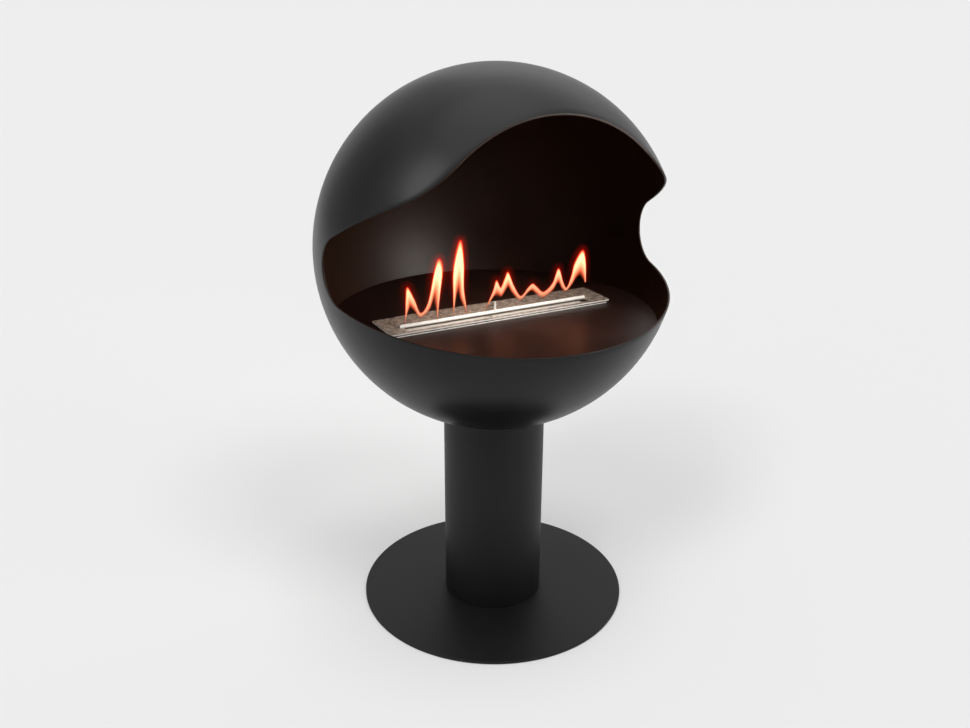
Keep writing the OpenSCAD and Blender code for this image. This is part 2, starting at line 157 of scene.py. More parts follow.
class FinishColours(bpy.types.PropertyGroup):
    """The finishes' own colours"""
    coat: colour("Powder coat", "Satin black coat of ball, post and foot", "#111112")
    # The hearth's dark paint carries a red-brown tint that is partly painted warm light from the flames
    hearth: colour("Hearth paint", "Stove paint of the hearth", "#271610")
    # The inner wall's dark paint carries a warm brown that is partly painted light of the flames
    inside: colour("Inner wall", "Stove paint inside the ball", "#221006")
    steel: colour("Blasted steel", "Stainless sheet of the burner", "#B19F8F")
    bright: colour("Bright steel", "Polished blade and pin", "#F4F2EE")
    wool: colour("Ceramic fibre", "White wool in the slot", "#D8D2C8")
    seal: colour("Seal", "Black glass-fibre seal", "#141416")
    rubber: colour("Rubber", "Sheet under the foot", "#1A1A1A")
    zinc: colour("Zinc", "Plated fixings", "#A9ABAD")
    primer: colour("Primer", "Welded parts out of sight", "#4A4C4E")
    floor: colour("Floor", "Pale floor and backdrop", "#EEEEEE")


class StageLevels(bpy.types.PropertyGroup):
    """Levels are shares of the light that shows a white floor as white"""
    sky: level("Sky", "Level of the even light", 0.34)
    left: level("Left lamp", "Level of the soft lamp on the left", 0.25)
    right: level("Right lamp", "Level of the soft lamp on the right", 0.19)
    top: level("Top lamp", "Level of the soft lamp overhead", 0.22)
    even: level("Floor evenness", "Share of the floor's tone that no shadow takes", 0.35)
    burner: power("Burner lamp", "Power of the soft lamp over the burner", 0.065)
    wall: power("Wall lamp", "Power of the soft lamp on the inner left wall", 1.1)


def add(material, kind, sockets=None, stops=None, **settings):
    """Adds one node to a material or world with its settings, its ramp's stops and its links."""
    tree = material.node_tree
    node = tree.nodes.new(kind)
    for name, value in settings.items():
        setattr(node, name, value)
    for spot, (place, value) in enumerate(stops or ()):
        ramp = node.color_ramp.elements
        stop = ramp[spot] if spot < len(ramp) else ramp.new(place)
        stop.position = place
        stop.color = value
    for name, value in (sockets or {}).items():
        if isinstance(value, bpy.types.NodeSocket):
            tree.links.new(value, node.inputs[name])
        else:
            node.inputs[name].default_value = value
    return node


def blank(name):
    """A new material without nodes."""
    material = bpy.data.materials.new(name)
    material.use_nodes = True
    material.node_tree.nodes.clear()
    return material


def shade(colour_value, share):
    """A linear colour scaled by a share, with alpha 1."""
    return tuple(min(1.0, c * share) for c in colour_value[:3]) + (1.0,)


# Waves to a metre: the drift of a coat's gloss runs over hands' widths, a sheet's blots over 9 mm
DRIFT = 9.0
BLOTS = 117.0


def coated(name, base, roughness, grain, depth, sheen, mottle=0.25):
    """Powder coat or stove paint. Its cured drops leave a fine orange peel, drawn at grain
    metres across and depth metres high, and the gloss drifts a little over the sheet."""
    material = blank(name)
    spot = add(material, "ShaderNodeTexCoord").outputs["Object"]
    drift = add(material, "ShaderNodeTexNoise", {"Vector": spot, "Scale": DRIFT, "Detail": 3.0})
    tone = add(material, "ShaderNodeValToRGB", {"Fac": drift.outputs["Fac"]},
               stops=((0.3, shade(base, 1 - mottle)), (0.7, shade(base, 1 + mottle))))
    gloss = add(material, "ShaderNodeMapRange", {"Value": drift.outputs["Fac"],
                "To Min": roughness - 0.05, "To Max": roughness + 0.05})
    peel = add(material, "ShaderNodeTexNoise", {"Vector": spot, "Scale": 1 / grain, "Detail": 2.0})
    bump = add(material, "ShaderNodeBump", {"Height": peel.outputs["Fac"], "Strength": 0.4,
                                            "Distance": depth})
    skin = add(material, "ShaderNodeBsdfPrincipled",
               {"Base Color": tone.outputs["Color"], "Roughness": gloss.outputs["Result"],
                "Normal": bump.outputs["Normal"], "Specular IOR Level": sheen})
    add(material, "ShaderNodeOutputMaterial", {"Surface": skin.outputs["BSDF"]})
    return material


def metal(name, base, roughness, grain, depth, mottle, stretch=(1.0, 1.0, 1.0), share=1.0, turn=None):
    """Stainless or plated steel. The grain is stretched along X where a belt brushed it, and a
    slow drift of tone and gloss stands for heat tint and handling. A share under 1 is bare
    metal under the thin matt skin that blasting and heat leave. A turn is the range of heights
    over which a sheet goes from painted shade at its foot, at 0.32 of its tone, to its full tone."""
    material = blank(name)
    spot = add(material, "ShaderNodeTexCoord").outputs["Object"]
    lay = add(material, "ShaderNodeMapping", {"Vector": spot, "Scale": stretch})
    lines = add(material, "ShaderNodeTexNoise", {"Vector": lay.outputs["Vector"],
                "Scale": 1 / grain, "Detail": 4.0, "Roughness": 0.6})
    blots = add(material, "ShaderNodeTexNoise", {"Vector": spot, "Scale": BLOTS, "Detail": 4.0})
    both = add(material, "ShaderNodeMath", {0: lines.outputs["Fac"], 1: blots.outputs["Fac"]},
               operation="MULTIPLY")
    tone = add(material, "ShaderNodeValToRGB", {"Fac": both.outputs["Value"]},
               stops=((0.12, shade(base, 1 - mottle)), (0.38, shade(base, 1 + 0.5 * mottle))))
    seen = tone.outputs["Color"]
    # Painted shade: below the turn's heights the tone darkens towards 0.32 of itself, as shade at the
    # foot
    if turn:
        height = add(material, "ShaderNodeSeparateXYZ", {"Vector": spot}).outputs["Z"]
        rise = add(material, "ShaderNodeMapRange", {"Value": height, "From Min": turn[0],
                   "From Max": turn[1]})
        foot_shade = add(material, "ShaderNodeMix", {"Factor": rise.outputs["Result"],
                   6: shade(base, 0.32), 7: seen}, data_type="RGBA")
        seen = foot_shade.outputs[2]
    gloss = add(material, "ShaderNodeMapRange", {"Value": both.outputs["Value"], "From Max": 0.5,
                "To Min": roughness + 0.08, "To Max": roughness - 0.05})
    bump = add(material, "ShaderNodeBump", {"Height": lines.outputs["Fac"], "Strength": 0.3,
                                            "Distance": depth})
    face = add(material, "ShaderNodeBsdfPrincipled",
               {"Base Color": seen, "Metallic": share,
                "Roughness": gloss.outputs["Result"], "Normal": bump.outputs["Normal"]})
    add(material, "ShaderNodeOutputMaterial", {"Surface": face.outputs["BSDF"]})
    return material


def fibrous(name, base, roughness, thread, depth, mottle):
    """Fibre wool, seal or rubber: a matt surface of short crossing threads, thread metres apart."""
    material = blank(name)
    spot = add(material, "ShaderNodeTexCoord").outputs["Object"]
    felt = add(material, "ShaderNodeTexNoise", {"Vector": spot, "Scale": 1 / thread,
               "Detail": 6.0, "Roughness": 0.7, "Distortion": 0.8})
    tone = add(material, "ShaderNodeValToRGB", {"Fac": felt.outputs["Fac"]},
               stops=((0.3, shade(base, 1 - mottle)), (0.6, base)))
    bump = add(material, "ShaderNodeBump", {"Height": felt.outputs["Fac"], "Strength": 0.8,
                                            "Distance": depth})
    face = add(material, "ShaderNodeBsdfPrincipled",
               {"Base Color": tone.outputs["Color"], "Roughness": roughness,
                "Normal": bump.outputs["Normal"], "Specular IOR Level": 0.3})
    add(material, "ShaderNodeOutputMaterial", {"Surface": face.outputs["BSDF"]})
    return material


# How the grain lies: a belt draws it out ten times along X, a blasted rolled sheet keeps a trace
BRUSHED = (0.1, 1.0, 1.0)
ROLLED = (0.6, 1.0, 1.0)

# Heights over which the blade goes from painted shade at its foot to its full bright face
BLADE_SHADE_HEIGHTS = (COVER_HIGH.z + 0.3 * MM, COVER_HIGH.z + 2.3 * MM)


def satin_powder_coat(tints):
    """Powder sprayed dry on the ball and baked: deep black, with broad soft lights."""
    return coated("satin_powder_coat", tints.coat, roughness=0.34, grain=0.9 * MM,
                  depth=0.02 * MM, sheen=0.22)


def satin_powder_coat_stand(tints):
    """The same powder on the rolled tube and the plate, a little duller than on the ball."""
    return coated("satin_powder_coat_stand", tints.coat, roughness=0.5, grain=0.9 * MM,
                  depth=0.02 * MM, sheen=0.25)


def matt_stove_paint(tints):
    """Heat-proof paint sprayed inside the ball: dull and dark, and its warm brown is partly painted light
    of the flames.
    """
    return coated("matt_stove_paint", tints.inside, roughness=0.45, grain=0.7 * MM,
                  depth=0.02 * MM, sheen=0.25)


def satin_stove_paint(tints):
    """Heat-proof paint on the flat hearth: smooth enough to hold a blurred mirror of the fire. Its
    red-brown tint is partly painted warm light from the flames.
    """
    return coated("satin_stove_paint", tints.hearth, roughness=0.4, grain=0.7 * MM,
                  depth=0.01 * MM, sheen=0.3)


def grey_primer(tints):
    """Primer on welded parts out of sight: flat grey. Its grain is drawn coarse enough to show."""
    return coated("grey_primer", tints.primer, roughness=0.7, grain=0.8 * MM, depth=0.03 * MM,
                  sheen=0.5)


def blasted_stainless_sheet(tints):
    """Stainless sheet, blasted and then tinted by heat: a warm grey with strong blots, whose
    pits are drawn far coarser than grit leaves them so that they show."""
    return metal("blasted_stainless_sheet", tints.steel, roughness=0.5, grain=2.1 * MM,
                 depth=0.05 * MM, mottle=0.75, stretch=ROLLED, share=0.35)


def painted_shade_slot_edge(tints):
    """The slot's back edge under the blade: dark brown paint as painted shade in the gap there."""
    return metal("painted_shade_slot_edge", shade(tints.steel, 0.2), roughness=0.5, grain=0.8 * MM,
                 depth=0.01 * MM, mottle=0.3, stretch=ROLLED, share=0.35)


def brushed_stainless_box(tints):
    """The burner's box, belt-brushed along its length: an even mid grey with fine lines."""
    return metal("brushed_stainless_box", shade(tints.bright, 0.6), roughness=0.4, grain=0.5 * MM,
                 depth=0.004 * MM, mottle=0.12, stretch=BRUSHED, share=0.3)


def polished_stainless(tints):
    """Stainless polished on a wheel: nearly white, with soft reflections."""
    return metal("polished_stainless", tints.bright, roughness=0.3, grain=0.4 * MM,
                 depth=0.004 * MM, mottle=0.08, stretch=BRUSHED, share=0.2)


def polished_blade_painted_foot_shade(tints):
    """The folded blade: polished as above, with painted shade at its foot, darkened to 0.32 of its tone.
    """
    return metal("polished_blade_painted_foot_shade", tints.bright, roughness=0.3, grain=0.4 * MM,
                 depth=0.004 * MM, mottle=0.08, stretch=BRUSHED, share=0.2, turn=BLADE_SHADE_HEIGHTS)


def pin_tone_and_edge_highlight(tints):
    """The pin's own bright tone, a shade under the polished blade. On the burner sheets' outer edges the
    same tone is a painted highlight.
    """
    return metal("pin_tone_and_edge_highlight", shade(tints.bright, 0.75), roughness=0.35, grain=0.4 * MM,
                 depth=0.004 * MM, mottle=0.08, stretch=BRUSHED, share=0.2)


def zinc_plated_steel(tints):
    """Zinc plate on bolts, screws and washers: bluish grey and softly bright."""
    return metal("zinc_plated_steel", tints.zinc, roughness=0.35, grain=0.5 * MM,
                 depth=0.005 * MM, mottle=0.2)


def white_ceramic_fibre(tints):
    """Ceramic wool: dull white felt with small shadows between its threads."""
    return fibrous("white_ceramic_fibre", tints.wool, roughness=0.95, thread=1.2 * MM,
                   depth=0.4 * MM, mottle=0.25)


def black_fibre_seal(tints):
    """Glass-fibre seal: a black, slightly rough line between the sheets."""
    return fibrous("black_fibre_seal", tints.seal, roughness=0.85, thread=0.8 * MM,
                   depth=0.1 * MM, mottle=0.3)


def black_rubber_sheet(tints):
    """Rubber cut from sheet: flat near-black with a faint grain."""
    return fibrous("black_rubber_sheet", tints.rubber, roughness=0.8, thread=0.6 * MM,
                   depth=0.05 * MM, mottle=0.2)


FINISHES = {
    "powder_coat": satin_powder_coat, "stand_coat": satin_powder_coat_stand,
    "inner_coat": matt_stove_paint, "hearth_coat": satin_stove_paint, "primed_steel": grey_primer,
    "stainless_sheet": blasted_stainless_sheet, "slot_edge_shade": painted_shade_slot_edge,
    "box_steel": brushed_stainless_box, "stainless_bright": polished_stainless,
    "blade_steel": polished_blade_painted_foot_shade, "pin_and_edge_highlight": pin_tone_and_edge_highlight, "zinc_steel": zinc_plated_steel,
    "ceramic_fibre": white_ceramic_fibre, "gasket_black": black_fibre_seal,
    "rubber_pad": black_rubber_sheet,
}

# Materials made so far, by finish
MADE = {}


def finish(name):
    """The material of that finish, made once from the colours in the sidebar."""
    if name not in MADE:
        MADE[name] = FINISHES[name](bpy.context.scene.ball_fire_colours)
    return MADE[name]


# From the hollow (reach 0) over the skin (reach 0.5) to the end of the halo (reach 1)
FLAME_STOPS = (
    (0.0, (0.7, 0.06, 0.02, 0.0)), (0.09, (1.0, 0.14, 0.06, 0.22)), (0.18, (1.0, 0.25, 0.12, 0.6)),
    (0.3, (1.0, 0.4, 0.21, 0.93)), (0.42, (1.0, 0.42, 0.22, 0.95)), (0.47, (1.0, 0.2, 0.08, 0.8)),
    (0.505, (0.9, 0.02, 0.01, 0.3)), (0.54, (0.9, 0.01, 0.0, 0.12)), (0.6, (0.9, 0.01, 0.0, 0.045)),
    (0.7, (0.9, 0.01, 0.0, 0.018)), (1.0, (0.9, 0.01, 0.0, 0.0)),
)


def ethanol_flame(strength):
    """Burning ethanol: it glows from salmon to pale orange and hides little. The ramp over
    reach gives the tint and, as its alpha, how much the flame covers. Veil thins the roots
    and the low halo, and warmth is the share of the full glow."""
    material = blank("ethanol_flame")
    reach, veil, warmth = (add(material, "ShaderNodeAttribute", attribute_name=name).outputs["Fac"]
                           for name in ("reach", "veil", "warmth"))
    power_out = add(material, "ShaderNodeMath", {0: warmth, 1: strength}, operation="MULTIPLY")
    tint = add(material, "ShaderNodeValToRGB", {"Fac": reach}, stops=FLAME_STOPS)
    cover = add(material, "ShaderNodeMath", {0: tint.outputs["Alpha"], 1: veil},
                operation="MULTIPLY")
    glow = add(material, "ShaderNodeBsdfPrincipled",
               {"Base Color": (0, 0, 0, 1), "Specular IOR Level": 0.0, "Roughness": 1.0,
                "Emission Color": tint.outputs["Color"],
                "Emission Strength": power_out.outputs["Value"], "Alpha": cover.outputs["Value"]})
    add(material, "ShaderNodeOutputMaterial", {"Surface": glow.outputs["BSDF"]})
    return material


def choose(mesh, finish_name, test):
    """Gives the faces that pass the test another finish. The test takes the faces' centres and
    normals as two (n, 3) arrays and gives back n truths."""
    mesh.materials.append(finish(finish_name))
    count, spot = len(mesh.polygons), len(mesh.materials) - 1
    centre, normal = np.zeros(count * 3), np.zeros(count * 3)
    mesh.polygons.foreach_get("center", centre)
    mesh.polygons.foreach_get("normal", normal)
    picked = test(centre.reshape(-1, 3), normal.reshape(-1, 3))
    given = np.zeros(count, np.int32)
    mesh.polygons.foreach_get("material_index", given)
    mesh.polygons.foreach_set("material_index", np.where(picked, spot, given).astype(np.int32))


def highlit_outer_edges(centre, normal):
    """True on the upright edges round a burner sheet's outside, up to 1 mm inside the flange's, which get
    a painted highlight.
    """
    outside = ((np.abs(centre[:, 1]) > FLANGE_HIGH.y - 1 * MM)
               | (np.abs(centre[:, 0]) > FLANGE_HIGH.x - 1 * MM))
    return (np.abs(normal[:, 2]) < 0.5) & outside


def slot_gap_shade(centre, normal):
    """True on the upright back edge of the flame slot, under the blade, which gets painted shade."""
    return (normal[:, 1] < -0.5) & (np.abs(centre[:, 1] - BLADE_Y) < 2 * MM)


def below_hearth(centre, _):
    """True on the burner's box, which hangs under the hearth."""
    return centre[:, 2] < HEARTH_TOP - 0.5 * MM


def on_blade(centre, _):
    """True on the folded front of the damper plate, a little deeper than its sheet is thick."""
    return centre[:, 1] < BLADE_Y + 1.3 * MM


def mesh_from(name, grid, closed_rows=False, low_pole=False, high_pole=False, sharp=35.0):
    """A closed mesh from an (n, m, 3) grid of points.

    Columns join up at the seam. Rows join up too, or each end row closes in a fan to its
    own middle. The faces are turned outwards by the sign of the enclosed volume. Edges
    sharper than the sharp angle, in degrees, stay sharp."""
    rows, columns = grid.shape[:2]
    points = grid.reshape(-1, 3)
    index = np.arange(rows * columns).reshape(rows, columns)
    lower = index if closed_rows else index[:-1]
    upper = np.roll(index, -1, axis=0) if closed_rows else index[1:]
    quads = np.stack([lower, np.roll(lower, -1, 1), np.roll(upper, -1, 1), upper], -1).reshape(-1, 4)
    fans = []
    for wanted, row, turn in ((low_pole, index[0], -1), (high_pole, index[-1], 1)):
        if wanted:
            middle = len(points)
            points = np.vstack([points, points[row].mean(0)])
            pair = np.stack([row, np.roll(row, -1)][::turn], -1)
            fans.append(np.column_stack([pair, np.full(len(row), middle)]))
    fans = np.vstack(fans) if fans else np.zeros((0, 3), int)
    corners = np.vstack([quads[:, [0, 1, 2]], quads[:, [0, 2, 3]], fans])
    a, b, c = (points[corners[:, k]] for k in range(3))
    if np.einsum("ij,ij->i", a, np.cross(b, c)).sum() < 0:
        quads, fans = quads[:, ::-1], fans[:, ::-1]
    mesh = bpy.data.meshes.new(name)
    mesh.from_pydata(points.tolist(), [], quads.tolist() + fans.tolist())
    mesh.polygons.foreach_set("use_smooth", np.ones(len(mesh.polygons), bool))
    mesh.set_sharp_from_angle(angle=math.radians(sharp))
    mesh.update()
    return mesh


def place(name, mesh, body, slot, material, *nodes):
    """Links a finished mesh as a piece that rides on a body and stands for CAD nodes."""
    piece = bpy.data.objects.new(name, mesh)
    bpy.context.scene.collection.objects.link(piece)
    mesh.materials.clear()
    mesh.materials.append(material)
    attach(piece, body)
    if nodes:
        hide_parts(*nodes)
    return piece


def dress(node, finish_name):
    """Gives a carried-over CAD node its finish."""
    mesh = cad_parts[node].data
    mesh.materials.clear()
    mesh.materials.append(finish(finish_name))


# An edge that turns by more than this is a sheet's own edge and gets a bevel
CREASE = math.radians(35)


def softened(node, slot, body, radius, look=None):
    """A merged copy of a CAD node whose sharp edges get a small bevel, as cut sheet has. The
    large faces then set the normals, so that they shade flat up to their bevels. Its finish
    is its slot's, or another look."""
    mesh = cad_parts[node].data.copy()
    mesh.name = node + "_sheet"
    work = bmesh.new()
    work.from_mesh(mesh)
    bmesh.ops.remove_doubles(work, verts=work.verts, dist=2e-6)
    bmesh.ops.dissolve_limit(work, angle_limit=math.radians(0.2), verts=work.verts, edges=work.edges)
    work.to_mesh(mesh)
    work.free()
    mesh.polygons.foreach_set("use_smooth", np.ones(len(mesh.polygons), bool))
    mesh.set_sharp_from_angle(angle=CREASE)
    piece = place(node + "_sheet", mesh, body, slot, finish(look or slot), node)
    edge = piece.modifiers.new("edge", "BEVEL")
    edge.width = radius
    edge.segments = 2
    edge.limit_method = "ANGLE"
    edge.angle_limit = CREASE
    edge.harden_normals = True
    even = piece.modifiers.new("even", "WEIGHTED_NORMAL")
    even.keep_sharp = True
    even.weight = 100
    return piece


def in_opening(size, y, z):
    """True where the opening's side profile holds a point, z from the ball's middle.

    It is the wedge between the sill line and the slope line, closed at the back by a circle
    that touches both, with all that lies before the arch, and the corner between slope and
    arch is rounded by the bend's circle."""
    up, down = math.tan(size.slope_a), math.tan(size.sill_a)
    slope_n = (math.sin(size.slope_a), math.cos(size.slope_a))
    sill_n = (math.sin(size.sill_a), -math.cos(size.sill_a))
    end_y = (size.slope_z + size.sill_z - size.end_r * (1 / math.cos(size.slope_a)
             + 1 / math.cos(size.sill_a))) / (up + down)
    end_z = -size.sill_z + down * end_y + size.end_r / math.cos(size.sill_a)
    top = (end_y + size.end_r * slope_n[0], end_z + size.end_r * slope_n[1])
    low = (end_y + size.end_r * sill_n[0], end_z + size.end_r * sill_n[1])
    bend_y = size.bend_r - size.arch_y
    bend_z = size.slope_z - up * bend_y + size.bend_r / math.cos(size.slope_a)
    over_sill = z > -size.sill_z + down * y
    wedge = over_sill & (z < size.slope_z - up * y)
    behind = (y - low[0]) * (top[1] - low[1]) - (z - low[1]) * (top[0] - low[0]) > 0
    round_end = np.hypot(y - end_y, z - end_z) < size.end_r
    front = over_sill & (y < -size.arch_y)
    along_slope = (y - bend_y) * slope_n[1] - (z - bend_z) * slope_n[0] < 0
    corner = along_slope & (z < bend_z) & (np.hypot(y - bend_y, z - bend_z) > size.bend_r) & over_sill
    return (wedge & (~behind | round_end)) | front | corner


def edge_angle(size, radius, phi):
    """Angle from the back pole at which each meridian of a sphere meets the opening, found by
    halving the range between the pole and the front 40 times."""
    low, high = np.zeros_like(phi), np.full_like(phi, math.pi * 0.999)
    for _ in range(40):
        middle = (low + high) / 2
        inside = in_opening(size, radius * np.cos(middle), radius * np.sin(middle) * np.sin(phi))
        low, high = np.where(inside, low, middle), np.where(inside, middle, high)
    return (low + high) / 2


# How much the ball's meridians crowd towards the opening's side ends, and the rows over its edge
CROWDING = 0.4
LIP_ROWS = 8


def ball_grid(size, centre_z):
    """The shell as one closed sheet: the outer wall from the back pole to the opening, a
    half ellipse over the edge, and the inner wall back to the pole. A point is
    R (sin t cos p, cos t, sin t sin p) about the ball's middle, with t from the back pole
    and p round it."""
    turn = np.linspace(0, 2 * math.pi, size.columns, endpoint=False)
    phi = turn - CROWDING * np.sin(2 * turn)

    def point(radius, theta, swing):
        return np.stack([radius * np.sin(theta) * np.cos(swing), radius * np.cos(theta)
                         + 0 * swing, radius * np.sin(theta) * np.sin(swing)], -1)

    inner_r = size.radius - size.wall
    outer = edge_angle(size, size.radius, phi) - size.edge_round / size.radius
    inner = edge_angle(size, inner_r, phi) - size.edge_round / inner_r
    share = (np.arange(1, size.rows + 1) / size.rows)[:, None]
    outside = point(size.radius, share * outer, phi + 0 * share)
    inside = point(inner_r, share[::-1] * inner, phi + 0 * share)
    middle, half = (outside[-1] + inside[0]) / 2, (outside[-1] - inside[0]) / 2
    theta = (outer + inner) / 2
    out = np.stack([np.cos(theta) * np.cos(phi), -np.sin(theta), np.cos(theta) * np.sin(phi)], -1)
    bow = np.linspace(0, math.pi, LIP_ROWS + 2)[1:-1, None, None]
    lip = middle + half * np.cos(bow) + out * size.edge_round * np.sin(bow)
    return np.concatenate([outside, lip, inside]) + np.array([0, 0, centre_z])


def lathe(profile, columns=192):
    """A profile of (radius, height) points turned about Z."""
    turn = np.linspace(0, 2 * math.pi, columns, endpoint=False)
    radius, height = np.array(profile, float).T
    return np.stack([radius[:, None] * np.cos(turn), radius[:, None] * np.sin(turn),
                     height[:, None] + 0 * turn], -1)


def eased(corners, radius, steps=4, closed=True):
    """A polygon's corners, each swapped for an arc that touches both of its sides, with one
    more point on each side so that the flats shade flat. An open line keeps its two ends."""
    corners = np.array(corners, float)
    ends = () if closed else (0, len(corners) - 1)
    path = []
    for k, corner in enumerate(corners):
        if k in ends:
            path.append(corner[None])
            continue
        back, ahead = corners[k - 1] - corner, corners[(k + 1) % len(corners)] - corner
        back, ahead = back / np.hypot(*back), ahead / np.hypot(*ahead)
        half = math.acos(max(-1.0, min(1.0, float(back @ ahead)))) / 2
        reach = radius / math.tan(half)
        middle = corner + (back + ahead) / np.hypot(*(back + ahead)) * radius / math.sin(half)
        first, last = corner + back * reach - middle, corner + ahead * reach - middle
        share = np.linspace(0, 1, steps + 1)[:, None]
        swing = math.pi - 2 * half
        arc = (first * np.sin((1 - share) * swing) + last * np.sin(share * swing)) / math.sin(swing)
        path += [(corner + back * (reach + 0.5 * radius))[None], middle + arc,
                 (corner + ahead * (reach + 0.5 * radius))[None]]
    return np.vstack(path)


class BALLFIRE_OT_ball(bpy.types.Operator):
    """Makes the ball's coated shell with its opening"""
    bl_idname = "ball_fire.ball"
    bl_label = "Ball shell"

    def execute(self, context):
        size = context.scene.ball_fire_ball
        centre_z = BALL_TOP - size.radius
        mesh = mesh_from("ball_skin", ball_grid(size, centre_z), low_pole=True, high_pole=True, sharp=60)
        ball = place("ball_skin", mesh, "stand", "powder_coat", finish("powder_coat"),
                     "lower_shell", "upper_shell")
        middle = np.array([0, 0, centre_z])
        paint_r = size.radius - size.wall * 0.15

        def inside(centre, _):
            return np.linalg.norm(centre - middle, axis=1) < paint_r

        choose(ball.data, "inner_coat", inside)
        return {"FINISHED"}


class BALLFIRE_OT_stand(bpy.types.Operator):
    """Makes the post and the foot, and finishes the fixings below the ball"""
    bl_idname = "ball_fire.stand"
    bl_label = "Post and foot"

    def execute(self, context):
        size, ball = context.scene.ball_fire_stand, context.scene.ball_fire_ball
        centre_z = BALL_TOP - ball.radius
        inner = size.post_radius - size.post_wall
        seat = ball.radius + size.post_gap

        def top(radius):
            return centre_z - math.sqrt(seat ** 2 - radius ** 2)

        tube = eased([(inner, size.foot_top), (size.post_radius, size.foot_top),
                      (size.post_radius, top(size.post_radius)), (inner, top(inner))],
                     size.post_edge)
        place("post_skin", mesh_from("post_skin", lathe(tube), closed_rows=True), "stand",
              "powder_coat", finish("stand_coat"), "post_tube")
        hub = 10 * MM
        edge = eased([(hub, size.foot_low), (size.foot_radius, size.foot_low),
                      (size.foot_radius, size.foot_top), (hub, size.foot_top)],
                     size.foot_edge, closed=False)
        place("foot_skin", mesh_from("foot_skin", lathe(edge, 256), low_pole=True, high_pole=True),
              "stand", "powder_coat", finish("stand_coat"), "foot_plate")
        for node, name in (("floor_pad", "rubber_pad"), ("foot_screws", "zinc_steel"),
                           ("post_foot_ring", "primed_steel"), ("post_seat_ring", "primed_steel"),
                           ("sphere_bolts", "zinc_steel"), ("bolt_washers", "zinc_steel"),
                           ("inner_saddle", "primed_steel")):
            dress(node, name)
        return {"FINISHED"}


class BALLFIRE_OT_hearth(bpy.types.Operator):
    """Finishes the hearth plate with its lugs and screws"""
    bl_idname = "ball_fire.hearth"
    bl_label = "Hearth"

    def execute(self, context):
        softened("hearth_plate", "hearth_coat", "stand", context.scene.ball_fire_edges.hearth)
        dress("hearth_lugs", "primed_steel")
        dress("hearth_screws", "hearth_coat")
        return {"FINISHED"}


class BALLFIRE_OT_burner(bpy.types.Operator):
    """Makes the burner's sheets and finishes its tray, wool, seal and screws"""
    bl_idname = "ball_fire.burner"
    bl_label = "Burner"

    def execute(self, context):
        edges = context.scene.ball_fire_edges
        for node, radius in (("burner_tank", edges.tank), ("burner_cover", edges.cover)):
            sheet = softened(node, "stainless_sheet", "burner", radius)
            # Painted highlight: the sheets' outer edges get the bright tone of the pin
            choose(sheet.data, "pin_and_edge_highlight", highlit_outer_edges)
            # Painted shade: the slot's back edge is darkened to 0.2 of the sheet's tone
            choose(sheet.data, "slot_edge_shade", slot_gap_shade)
            choose(sheet.data, "box_steel", below_hearth)
        for node, name in (("fuel_tray", "stainless_sheet"), ("ceramic_wool", "ceramic_fibre"),
                           ("cover_gasket", "gasket_black"), ("cover_screws", "stainless_sheet")):
            dress(node, name)
        return {"FINISHED"}


class BALLFIRE_OT_damper(bpy.types.Operator):
    """Makes the sliding damper plate with its blade, pin and studs"""
    bl_idname = "ball_fire.damper"
    bl_label = "Damper"

    def execute(self, context):
        edges = context.scene.ball_fire_edges
        plate = softened("damper_plate", "stainless_sheet", "damper", edges.damper)
        choose(plate.data, "blade_steel", on_blade)
        softened("handle_pin", "stainless_bright", "damper", edges.pin, look="pin_and_edge_highlight")
        dress("guide_studs", "stainless_sheet")
        dress("stud_rings", "stainless_bright")
        return {"FINISHED"}


# The flames stand a little behind the middle of the slot and start just over the cover
FLAME_Y = -22.2 * MM
FLAME_ROOT = COVER_HIGH.z + 0.5 * MM

# Each flame's outer and inner line, from the left root over its tips to the right end, as x
# and height over the floor in mm
FLAMES = {
    "flame_left": (
        ((-178, 549), (-177, 565), (-176, 580), (-175, 600), (-172, 618), (-161, 598), (-150, 573),
         (-136, 589), (-124, 638), (-116, 657), (-110, 640), (-115, 600), (-118, 576), (-120, 549)),
        ((-177, 549), (-175, 563), (-172, 574), (-168, 581), (-166, 582), (-160, 576), (-150, 563),
         (-134, 572), (-127, 586), (-126, 590), (-125, 586), (-122, 574), (-121, 566), (-121, 549))),
    "flame_tall": (
        ((-91, 549), (-91, 565), (-91, 592), (-90, 640), (-78, 683), (-72, 650), (-72, 605),
         (-68, 575), (-65, 549)),
        ((-90, 549), (-89, 563), (-86, 582), (-83, 592), (-81, 596), (-80, 593), (-77, 583),
         (-69, 564), (-66, 549))),
    "flame_right": (
        ((-29, 549), (-29, 565), (-17, 592), (-11, 608), (-3, 595), (5, 610), (11, 619), (22, 595),
         (36, 575), (51, 588), (59, 593), (67, 587), (81, 576), (99, 589), (110, 613), (120, 588),
         (128, 577), (137, 597), (143, 619), (158, 639), (165, 618), (167, 583)),
        ((-28, 549), (-28, 562), (-15, 579), (-8, 580), (0, 577), (8, 587), (13, 592), (20, 581),
         (36, 566), (51, 577), (59, 580), (66, 574), (80, 563), (100, 573), (111, 586), (119, 575),
         (128, 569), (141, 580), (147, 588), (155, 594), (162, 587), (166, 580))),
}


def through(stations, steps=10):
    """A Catmull-Rom curve through stations in mm, steps samples to a span, in metres."""
    known = np.array(stations, float) * MM
    padded = np.vstack([2 * known[0] - known[1], known, 2 * known[-1] - known[-2]])
    share = np.linspace(0, len(known) - 1, (len(known) - 1) * steps + 1)
    span = np.minimum(share.astype(int), len(known) - 2)
    t = (share - span)[:, None]
    a, b, c, d = (padded[span + k] for k in range(4))
    return 0.5 * (2 * b + (c - a) * t + (2 * a - 5 * b + 4 * c - d) * t ** 2
                  + (3 * b - a - 3 * c + d) * t ** 3)


def ramped(values, low, high):
    """0 below the low value, 1 above the high one and a smooth 3 t^2 - 2 t^3 between them."""
    share = np.clip((values - low) / (high - low), 0, 1)
    return share ** 2 * (3 - 2 * share)


